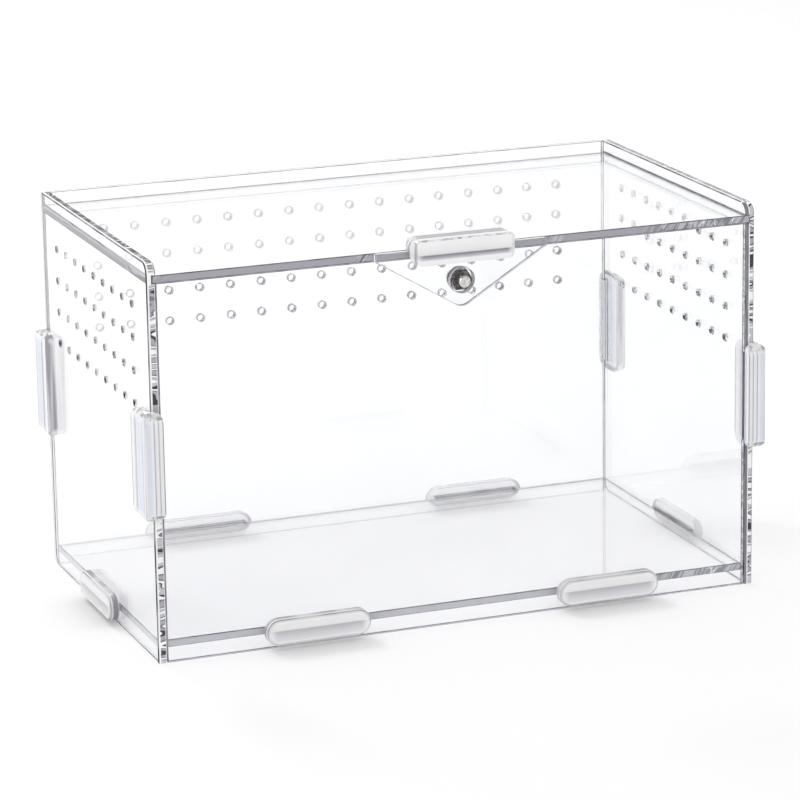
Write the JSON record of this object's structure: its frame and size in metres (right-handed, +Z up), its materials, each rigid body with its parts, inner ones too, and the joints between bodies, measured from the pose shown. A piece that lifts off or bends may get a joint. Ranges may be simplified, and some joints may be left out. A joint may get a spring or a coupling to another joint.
{
  "type": "acrylic reptile enclosure",
  "caption": "Clear rectangular enclosure with a raised floor, vented walls joined by outside clips, and a lid that slides forward over a lock bolt.",
  "frame": {"origin": "under the middle of the whole object, fittings included, on the surface it stands on", "axes": "+X to the right seen from the front, +Y to the back, +Z up; the lid slides out along -Y"},
  "size_m": [0.33, 0.1942, 0.2],
  "materials": {
    "clear_acrylic": "clear polished sheet",
    "clear_clip": "clear moulded plastic with a faint blue cast",
    "nickel_steel": "nickel-plated, turned end"
  },
  "bodies": {
    "enclosure": {"base_panel": "clear_acrylic", "front_panel": "clear_acrylic", "back_panel": "clear_acrylic", "left_panel": "clear_acrylic", "right_panel": "clear_acrylic", "corner_clip_front_left": "clear_clip", "corner_clip_front_right": "clear_clip", "corner_clip_rear_left": "clear_clip", "corner_clip_rear_right": "clear_clip", "base_clip_front_left": "clear_clip", "base_clip_front_right": "clear_clip", "base_clip_back_left": "clear_clip", "base_clip_back_right": "clear_clip", "base_clip_left": "clear_clip", "base_clip_right": "clear_clip", "lock_bolt": "nickel_steel", "bolt_washer": "nickel_steel", "lock_nut": "nickel_steel"},
    "lid": {"lid_panel": "clear_acrylic", "hasp_plate": "clear_acrylic", "hasp_clip": "clear_clip"}
  },
  "joints": [
    {"name": "lid_slide", "type": "slide", "parent": "enclosure", "child": "lid", "axis": [0, -1, 0], "range_m": [0, 0.16]}
  ]
}
